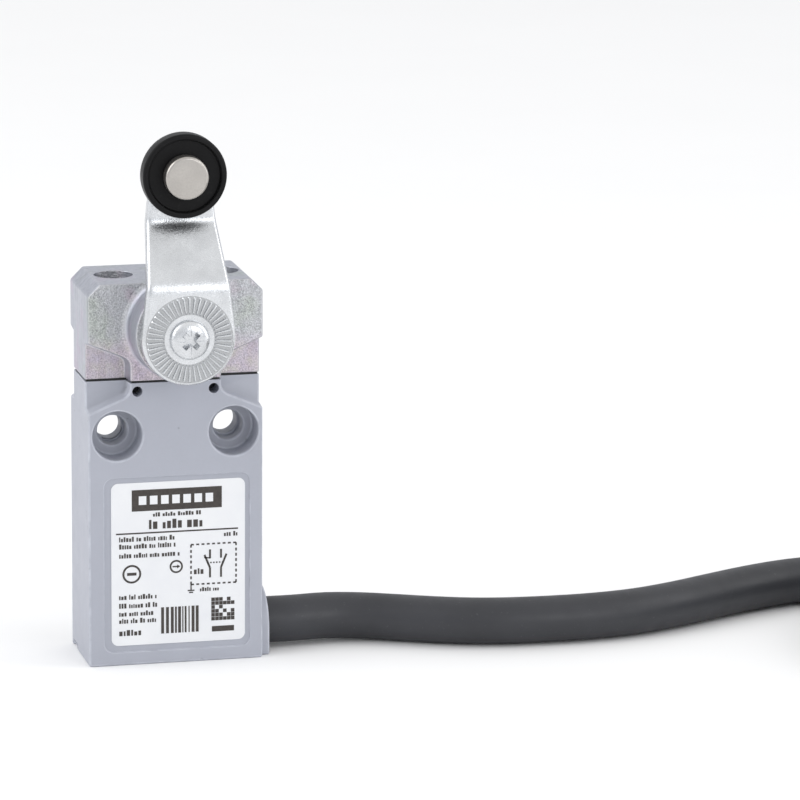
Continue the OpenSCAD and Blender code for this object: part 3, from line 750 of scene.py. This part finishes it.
def on_lever(x, z, depth):
    """A point of the lever: x and z in the front view, depth in front of the sheet's middle."""
    for a, b in zip(LEVER_PATH, LEVER_PATH[1:]):
        if a.y <= z <= b.y:
            break
    t = (z - a.y) / (b.y - a.y)
    p = a + (b - a) * t
    # blend the normals at the two ends, so that the surface is smooth
    i = LEVER_PATH.index(a)

    def normal(k):
        u = LEVER_PATH[min(k + 1, len(LEVER_PATH) - 1)] - LEVER_PATH[max(k - 1, 0)]
        return Vector((-u.y, u.x)).normalized()

    n = normal(i).lerp(normal(i + 1), t).normalized()
    return (x, p.x + n.x * depth, p.y + n.y * depth)


def lever_half(inset, rows):
    """Right half of the outline, from the bottom to the top, moved in by inset."""
    slope = math.asin((HUB_R - TIP_R) / LEVER_L)
    out = []
    for k in range(rows + 1):  # round the hub
        a = math.radians(-90) + (slope + math.radians(90)) * k / rows
        out.append(((HUB_R - inset) * math.cos(a), PIVOT_Z + (HUB_R - inset) * math.sin(a)))
    x0, z0 = out[-1]
    x1 = (TIP_R - inset) * math.cos(slope)
    z1 = ROLLER_Z + (TIP_R - inset) * math.sin(slope)
    for k in range(1, 3 * rows):
        t = k / (3 * rows)
        out.append((x0 + (x1 - x0) * t, z0 + (z1 - z0) * t))
    for k in range(rows + 1):
        a = slope + (math.radians(90) - slope) * k / rows
        out.append(((TIP_R - inset) * math.cos(a), ROLLER_Z + (TIP_R - inset) * math.sin(a)))
    return out


def build_lever():
    rows, cols = 26, 14
    front_r, back_r = 0.75, 0.3
    rings = []  # (inset, depth) from the back's middle round the edge to the front's middle
    for k in range(6):
        a = math.radians(90 * k / 5)
        rings.append((back_r * (1 - math.sin(a)), -LEVER_T / 2 + back_r * (1 - math.cos(a))))
    for k in range(8):
        a = math.radians(90 * k / 7)
        rings.append((front_r * (1 - math.cos(a)), LEVER_T / 2 - front_r * (1 - math.sin(a))))
    verts, faces = [], []

    def add_loop(inset, depth):
        half = lever_half(inset, rows)
        start = len(verts)
        loop = half + [(-x, z) for x, z in reversed(half[1:-1])]
        verts.extend(on_lever(x, z, depth) for x, z in loop)
        return start, len(loop)

    loops = [add_loop(*r) for r in rings]
    for (s0, n), (s1, _) in zip(loops, loops[1:]):
        for k in range(n):
            m = (k + 1) % n
            faces.append((s0 + k, s0 + m, s1 + m, s1 + k))
    for (start, n), inset, depth in (
        (loops[0], rings[0][0], rings[0][1]),
        (loops[-1], rings[-1][0], rings[-1][1]),
    ):
        half = lever_half(inset, rows)
        last = len(half) - 1
        grid = {}
        for i in range(last + 1):
            for j in range(cols + 1):
                if i in (0, last) or j == cols:
                    grid[i, j] = start + i
                elif j == 0:
                    grid[i, j] = start + n - i
                else:
                    x, z = half[i]
                    grid[i, j] = len(verts)
                    verts.append(on_lever(x * (2 * j / cols - 1), z, depth))
        for i in range(last):
            for j in range(cols):
                quad = [grid[i, j], grid[i, j + 1], grid[i + 1, j + 1], grid[i + 1, j]]
                faces.append(tuple(dict.fromkeys(quad)))
    return make("lever_visual", verts, [f for f in faces if len(f) > 2], "lever_arm", 50)


lever = build_lever()


def serrations(count=46, r0=4.25, r1=7.3, height=0.26):
    """Radial ridges with a flat top, raised from just under the lever's front face."""
    verts, faces = [], []
    face_y = LEVER_Y - LEVER_T
    # across a ridge: how far to the side, and how high
    section = ((-1.0, 0.0), (-0.38, 1.0), (0.38, 1.0), (1.0, 0.0))
    for k in range(count):
        mid = TAU * (k + 0.5) / count
        start = len(verts)
        for t, rise in ((0.0, 0.0), (0.1, 1.0), (0.55, 1.0), (0.93, 1.0), (1.0, 0.0)):
            r = r0 + (r1 - r0) * t
            half_wide = 0.15 + 0.16 * t
            for u, up in section:
                a = mid + u * half_wide / r
                y = face_y + 0.08 - (height + 0.08) * up * rise
                verts.append((r * math.cos(a), y, PIVOT_Z + r * math.sin(a)))
        for i in range(4):
            for j in range(4):
                p, q = start + 4 * i + j, start + 4 * i + (j + 1) % 4
                faces.append((p, q, q + 4, p + 4))
        faces.append(tuple(range(start, start + 4)))
        faces.append(tuple(start + 16 + j for j in (3, 2, 1, 0)))
    return make("serrations", verts, faces, None, 30)


def groove_shade_ring():
    """A thin ring on the floor between the ridges, marked to take painted shade there."""
    face_y = LEVER_Y - LEVER_T
    r0, r1, back, front = 4.22, 7.38, face_y + 0.1, face_y - 0.02
    section = [(r0, back), (r1, back), (r1, front), (r0, front)]
    ring = lathe("groove_shade_ring", section, PIVOT_Z, None, 128, closed=True)
    mark_faces(ring.data, "side_tone_and_groove_shade", [1.0] * len(ring.data.polygons))
    return ring


join(lever, serrations(), groove_shade_ring())
done(lever, "plated_steel", "lever")


# ---------------------------------------------------------------- lever screw
def frustum(name, back, front, turn):
    """A tapered bar along Y, (half length, half width, y) at each end, turned in the front view."""
    c, s = math.cos(math.radians(turn)), math.sin(math.radians(turn))
    verts = []
    for half_long, half_wide, y in (back, front):
        for u, v in ((-1, -1), (1, -1), (1, 1), (-1, 1)):
            a, b = u * half_long, v * half_wide
            verts.append((a * c - b * s, y, PIVOT_Z + a * s + b * c))
    faces = [(0, 1, 2, 3), (7, 6, 5, 4)]
    faces += [(i, (i + 1) % 4, 4 + (i + 1) % 4, 4 + i) for i in range(4)]
    return make(name, verts, faces, None)


SCREW_FRONT, SCREW_BACK = -21.0, -19.52
SCREW_R, SCREW_RIM, SCREW_DOME = 3.35, 0.25, 1.22
screw = lathe(
    "lever_screw_visual",
    [(0, SCREW_BACK), (3.1, SCREW_BACK), (3.3, SCREW_BACK - 0.08)]
    + [(SCREW_R, SCREW_BACK - SCREW_RIM)]
    + [
        (
            SCREW_R * math.cos(math.radians(a)) ** 0.62,
            SCREW_BACK - SCREW_RIM - SCREW_DOME * math.sin(math.radians(a)),
        )
        for a in range(6, 90, 6)
    ]
    + [(0, SCREW_FRONT)],
    PIVOT_Z, "lever_arm", 72, angle=40,
)
cross = frustum("cross", (1.15, 0.34, -19.87), (1.95, 0.52, -21.3), 45)
boolean(cross, frustum("arm", (1.13, 0.33, -19.85), (1.97, 0.53, -21.32), 135), "UNION")
boolean(cross, frustum("centre", (0.66, 0.64, -19.8), (0.98, 0.96, -21.34), 1), "UNION")
boolean(screw, cross, "DIFFERENCE")
for angle in (0, 90):
    boolean(screw, frustum("tick", (2.3, 0.05, -20.74), (2.7, 0.11, -21.2), angle), "DIFFERENCE")
set_smooth(screw.data, 35)
done(screw, "plated_steel", "lever_screw")


# ---------------------------------------------------------------- roller and its pin
ROLLER_R, ROLLER_Y0, ROLLER_Y1 = 7.1, -16.3, -13.3
roller_section = fillet(
    [(3.02, ROLLER_Y1), (ROLLER_R, ROLLER_Y1), (ROLLER_R, ROLLER_Y0), (6.15, ROLLER_Y0),
     (6.05, ROLLER_Y0 + 0.9), (3.02, ROLLER_Y0 + 0.9)],
    [0, 0.3, 0.42, 0.28, 0.25, 0], 6,
)
roller = lathe(
    "roller_visual", [(p.x, p.y) for p in roller_section],
    ROLLER_Z, "roller_wheel", 128, closed=True, angle=40,
)
done(roller, "roller_plastic", "roller")

pin_section = fillet(
    [(0, -18.2), (3.65, -18.2), (3.65, -15.8), (2.0, -15.8), (2.0, -11.0), (2.9, -11.0),
     (2.9, -10.45), (2.1, -10.1), (0, -10.1)],
    [0, 0.5, 0.1, 0, 0, 0.05, 0.3, 0.3, 0], 6,
)
pin = lathe(
    "roller_pin_visual", [(p.x, p.y) for p in pin_section],
    ROLLER_Z, "lever_arm", angle=50,
)
done(pin, "pin_steel", "roller_pin")


# ---------------------------------------------------------------- label print
INK_Y0, INK_Y1 = -7.88, -7.84


class Print:
    """Flat marks on the label, gathered into one thin mesh."""

    def __init__(self, y0, y1):
        self.y0, self.y1 = y0, y1
        self.verts, self.faces = [], []

    def shape(self, outline):
        n, start = len(outline), len(self.verts)
        self.verts += [(x, y, z) for y in (self.y0, self.y1) for x, z in outline]
        self.faces.append(tuple(start + i for i in range(n)))
        self.faces.append(tuple(start + n + i for i in reversed(range(n))))
        for i in range(n):
            j = (i + 1) % n
            self.faces.append((start + i, start + j, start + n + j, start + n + i))

    def bar(self, x0, z0, x1, z1):
        self.shape([(x0, z0), (x1, z0), (x1, z1), (x0, z1)])

    def line(self, x0, z0, x1, z1, wide=0.22):
        u = Vector((x1 - x0, z1 - z0)).normalized() * wide / 2
        ends = ((x0 + u.y, z0 - u.x), (x1 + u.y, z1 - u.x))
        self.shape([*ends, (x1 - u.y, z1 + u.x), (x0 - u.y, z0 + u.x)])

    def dashes(self, x0, z0, x1, z1, count, wide=0.28, full=0.55):
        for k in range(count):
            ends = []
            for t in (k / (count - 1 + full), (k + full) / (count - 1 + full)):
                ends += [x0 + (x1 - x0) * t, z0 + (z1 - z0) * t]
            self.line(*ends, wide)

    def ring(self, x, z, r, wide):
        steps, r0, r1 = 40, r - wide / 2, r + wide / 2
        for k in range(steps):
            a, b = TAU * k / steps, TAU * (k + 1) / steps
            corners = ((r0, a), (r1, a), (r1, b), (r0, b))
            self.shape([(x + q * math.cos(t), z + q * math.sin(t)) for q, t in corners])

    def row(self, x0, x1, z, high, wide, seed):
        """A greeked row: small solid blocks of uneven width in words of two to six."""
        rng = random.Random(seed)
        x, left = x0, rng.randint(2, 6)
        while x + 0.3 < x1:
            block = min(wide * rng.uniform(0.35, 0.75), x1 - x)
            top = z + high * rng.choice((0.18, 0.5, 0.3))
            self.bar(x, z - high / 2, x + block, top)
            x += block + wide * 0.24
            left -= 1
            if left == 0:
                x, left = x + wide * 0.6, rng.randint(2, 6)

    def build(self, name, material):
        obj = make(name, self.verts, self.faces, "housing", 30)
        obj.data.materials.append(material)
        return obj


ink = Print(INK_Y0, INK_Y1)
ink.bar(-7.6, 26.8, 7.93, 30.5)
ink.row(-3.95, 4.3, 26.1, 0.7, 0.55, 1)
ink.row(-4.65, 5.0, 24.4, 1.6, 1.1, 2)
ink.bar(-10.33, 22.85, 10.74, 23.1)
ink.row(8.3, 10.75, 22.1, 0.8, 0.55, 3)
for k, (x1, z) in enumerate(((-0.2, 22.0), (0.2, 20.75), (1.0, 19.15))):
    ink.row(-9.8, x1, z, 0.85, 0.55, 10 + k)
for k, z in enumerate((11.9, 10.4, 9.0, 7.75)):
    ink.row(-9.85, -3.3, z, 0.85, 0.55, 20 + k)
ink.row(-9.85, -5.6, 5.65, 1.0, 0.85, 30)
# a ring with a plain bar, and the sign for a positive opening contact
ink.ring(-7.64, 15.9, 1.45, 0.34)
ink.bar(-8.45, 15.65, -6.83, 16.15)
ink.ring(0.04, 16.83, 1.0, 0.3)
ink.line(-0.6, 16.83, 0.3, 16.83, 0.24)
ink.shape([(0.2, 16.5), (0.72, 16.83), (0.2, 17.16)])
# the contact diagram in its dashed frame, with the earth line below it
for x0, z0, x1, z1, count in (
    (2.59, 20.5, 10.4, 20.5, 9), (2.59, 13.53, 10.4, 13.53, 9),
    (2.59, 13.53, 2.59, 20.5, 8), (10.4, 13.53, 10.4, 20.5, 8),
):
    ink.dashes(x0, z0, x1, z1, count)
# its two contacts, mirrored
for x, lean in ((5.88, -1), (7.79, 1)):
    ink.line(x, 14.6, x, 16.3, 0.34)
    ink.line(x, 16.3, x + lean * 0.95, 18.6, 0.34)
    ink.line(x, 17.95, x, 19.5, 0.34)
ink.line(4.85, 18.15, 5.95, 18.0)
ink.dashes(5.4, 17.2, 8.2, 17.2, 6, 0.24, 0.5)
ink.row(3.1, 4.9, 15.8, 1.0, 0.8, 40)
ink.line(2.59, 13.5, 2.59, 12.5)
ink.line(2.0, 12.5, 3.18, 12.5)
ink.line(2.25, 12.15, 2.93, 12.15)
ink.row(4.14, 7.7, 12.6, 0.7, 0.5, 41)
# plain stripes and a grid of squares where marks stand
stripe = random.Random(5)
x = -2.6
while x < 3.6:
    wide = stripe.choice((0.2, 0.32, 0.5))
    ink.bar(x, 5.2, x + wide, 9.8)
    x += wide + stripe.choice((0.22, 0.34))
squares = random.Random(9)
for i in range(6):
    for j in range(6):
        if squares.random() < 0.6 or i == 0 or j == 0:
            x, z = 6.1 + 0.68 * i, 7.0 + 0.68 * j
            ink.bar(x, z, x + 0.62, z + 0.62)
ink.bar(6.2, 5.05, 10.05, 6.0)
ink.build("label_print", INK)

pale = Print(INK_Y0 - 0.02, INK_Y0)
for k in range(7):
    pale.bar(-6.4 + 1.92 * k, 27.9, -5.1 + 1.92 * k, 29.4)
pale.build("label_bar_marks", MATERIALS["label_film"])


# ---------------------------------------------------------------- cable, tie, cores
def tube(name, path, radii, sides, band=None):
    """A round bar along the path in mm; band names the sides that take a second colour."""
    verts, faces = [], []
    n = len(path)
    for i, p in enumerate(path):
        ahead = (path[min(i + 1, n - 1)] - path[max(i - 1, 0)]).normalized()
        side = ahead.cross(Vector((0, 0, 1))).normalized()
        over = side.cross(ahead)
        for k in range(sides):
            a = TAU * k / sides
            verts.append(tuple(p + (side * math.cos(a) + over * math.sin(a)) * radii[i]))
    for i in range(n - 1):
        for k in range(sides):
            m = (k + 1) % sides
            faces.append((i * sides + k, i * sides + m, (i + 1) * sides + m, (i + 1) * sides + k))
    faces.append(tuple(reversed(range(sides))))
    faces.append(tuple(range((n - 1) * sides, n * sides)))
    mesh = bpy.data.meshes.new(name)
    mesh.from_pydata([tuple(c * MM for c in v) for v in verts], [], faces)
    if band:
        walls = (n - 1) * sides
        marks = [float(f < walls and f % sides in band) for f in range(len(faces))]
        mark_faces(mesh, "band", marks)
    set_smooth(mesh, 50)
    return link(bpy.data.objects.new(name, mesh), "housing")


# degrees of coil that the bare cores and their ferrules take, then their radii
TAIL_SWEEP, FERRULE_SWEEP = 32, 10
CORE_R, SLEEVE_R = 0.9, 0.6
# for each core: its slot, where it lies on the floor, and its place in the jacket's end
CORES = {
    "green_yellow": (0, 2.75, 90), "black": (3, 1, 18), "black_white": (1, 1, -54),
    "brown": (-1, 1, -126), "blue": (-3, 1, 162),
}


def core_point(name, swept):
    """A core's axis after that many degrees past the jacket's end; it starts inside the jacket."""
    out, height, turn = CORES[name]
    t = ease(min(1, max(0, swept / 18)))
    a = math.radians(turn)
    r = R_END + (2.0 * math.cos(a)) * (1 - t) + out * t
    z = (FLOOR_Z + 2.0 * math.sin(a)) * (1 - t) + height * t
    return coil_point(END_ANGLE - swept, r, z)


sleeves = []
for name in CORES:
    path = [core_point(name, k) for k in range(-2, TAIL_SWEEP + 1)]
    core = tube("core_tail_" + name, path, [CORE_R] * len(path), 20, band=range(3, 8))
    done(core, "core_" + name, "tail_" + name)
    path = [core_point(name, TAIL_SWEEP - 0.6 + k * 0.6) for k in range(FERRULE_SWEEP * 5 // 3 + 2)]
    # crimp ridges along the sleeve, a collar at its start and a narrowed tip
    ridges = [SLEEVE_R + (0.06 if 4 < k < 16 and k % 3 == 0 else 0.0) for k in range(len(path))]
    ridges[0] = ridges[1] = 0.8
    ridges[-1] = 0.42
    sleeves.append(tube("sleeve_" + name, path, ridges, 16))
ferrules = sleeves[0]
join(ferrules, *sleeves[1:])
ferrules.name = "ferrules_visual"
done(ferrules, "tinned_ferrule", "tail_ferrules")


# where the tie stands on the coil, in degrees; then its strap's two faces, measured from the
# axis of the turn it bends round, and half its width
TIE_ANGLE = -60
STRAP_IN, STRAP_OUT, STRAP_HALF = 4.05, 4.85, 1.8


def tie_strap():
    """A flat strap pulled round the turns, with its ratchet head and cut tail."""
    top = Vector(coil_state(90 - TIE_ANGLE + 720))
    # the turns at the corners of the bundle, each with the angles the strap covers on it
    corners = (
        (Vector((R_OUTER, FLOOR_Z)), -90, 30),
        (top, 30, 120),
        (Vector((R_END, FLOOR_Z)), 120, 270),
    )
    rows = []
    for mid, a0, a1 in corners:
        for i in range(13):
            a = math.radians(a0 + (a1 - a0) * i / 12)
            way = Vector((math.cos(a), math.sin(a)))
            rows.append((mid + way * STRAP_IN, mid + way * STRAP_OUT))
    c, s = math.cos(math.radians(TIE_ANGLE)), math.sin(math.radians(TIE_ANGLE))

    def place(r, side, z):
        return (COIL.x + r * c - side * s, COIL.y + r * s + side * c, z)

    verts, faces = [], []
    for inner, outer in rows:
        # on the floor the strap lies flat, with its faces at these heights
        for p, side, least in (
            (inner, -1, 0.62), (outer, -1, 0.03), (outer, 1, 0.03), (inner, 1, 0.62),
        ):
            verts.append(place(p.x, side * STRAP_HALF, max(p.y, least)))
    n = len(rows)
    for i in range(n):
        j = (i + 1) % n
        for k in range(4):
            m = (k + 1) % 4
            faces.append((i * 4 + k, i * 4 + m, j * 4 + m, j * 4 + k))
    strap = make("coil_tie_visual", verts, faces, "housing", 40)
    parts = []
    for name, (r0, r1), (s0, s1), (z0, z1) in (
        ("head", (top.x - 2.4, top.x + 1.9), (-2.5, 2.5), (top.y + 4.2, top.y + 5.7)),
        ("tail", (top.x + 1.9, top.x + 5.4), (-1.5, 1.5), (top.y + 4.7, top.y + 5.4)),
    ):
        around = ((r0, s0), (r1, s0), (r1, s1), (r0, s1))
        corners = [place(r, side, z) for z in (z0, z1) for r, side in around]
        sides = [(i, (i + 1) % 4, 4 + (i + 1) % 4, 4 + i) for i in range(4)]
        part = make(name, corners, [(3, 2, 1, 0), (4, 5, 6, 7)] + sides, None)
        bm = bmesh.new()
        bm.from_mesh(part.data)
        bmesh.ops.bevel(
            bm, geom=list(bm.edges), offset=0.25 * MM, offset_type="OFFSET", segments=3,
            profile=0.5, affect="EDGES",
        )
        bm.to_mesh(part.data)
        bm.free()
        parts.append(part)
    join(strap, *parts)
    set_smooth(strap.data, 40)
    return strap


tie = done(tie_strap(), "tie_plastic", "coil_tie")
cable = tube("cable_visual", CABLE_LINE, [CABLE_D / 2] * len(CABLE_LINE), 32)
done(cable, "cable_jacket", "cable_run", "cable_coil")


# ---------------------------------------------------------------- floor, light, closing lines
LIT = Vector((0.0, 0.0, 0.045))


def area(name, place, size, power):
    """A soft white lamp of that width and height in metres, turned to the switch."""
    data = bpy.data.lights.new(name, "AREA")
    data.shape, data.size, data.size_y = "RECTANGLE", *size
    data.energy = power
    lamp = bpy.data.objects.new(name, data)
    lamp.location = place
    bpy.context.scene.collection.objects.link(lamp)
    lamp.rotation_mode = "QUATERNION"
    lamp.rotation_quaternion = (LIT - lamp.location).to_track_quat("-Z", "Y")


floor_mesh = bpy.data.meshes.new("floor")
floor_mesh.from_pydata(
    [(-4, -4, 0), (4, -4, 0), (4, 4, 0), (-4, 4, 0)], [], [(0, 1, 2, 3)]
)
floor = bpy.data.objects.new("floor", floor_mesh)
bpy.context.scene.collection.objects.link(floor)
floor_mat = Shader("floor_paper")
clouds = floor_mat.noise(60, 2)
floor_mat.feed("Base Color", floor_mat.mix(clouds, (0.90, 0.90, 0.90), (0.92, 0.92, 0.92)))
floor_mat.feed("Roughness", 0.9)
floor.data.materials.append(floor_mat.mat)

# a white tent, brighter overhead than at its walls
world = bpy.data.worlds.new("studio")
bpy.context.scene.world = world
world.use_nodes = True
tree = world.node_tree
coord = tree.nodes.new("ShaderNodeTexCoord")
parts = tree.nodes.new("ShaderNodeSeparateXYZ")
ramp = tree.nodes.new("ShaderNodeValToRGB")
walls, top = ramp.color_ramp.elements
walls.position, walls.color = 0.0, (0.66, 0.68, 0.72, 1)
top.position, top.color = 0.85, (1.0, 1.0, 1.0, 1)
tree.links.new(coord.outputs["Generated"], parts.inputs[0])
tree.links.new(parts.outputs[2], ramp.inputs[0])
tree.links.new(ramp.outputs[0], tree.nodes["Background"].inputs["Color"])
tree.nodes["Background"].inputs["Strength"].default_value = 1.0

area("key_left", (-0.85, -0.05, 0.6), (0.8, 0.7), 4.0)
area("front_right", (0.45, -0.95, 0.38), (0.5, 0.28), 1.6)
area("rim_right", (0.75, -0.25, 0.35), (0.3, 0.8), 1.6)
bpy.context.scene.cycles.use_denoising = True
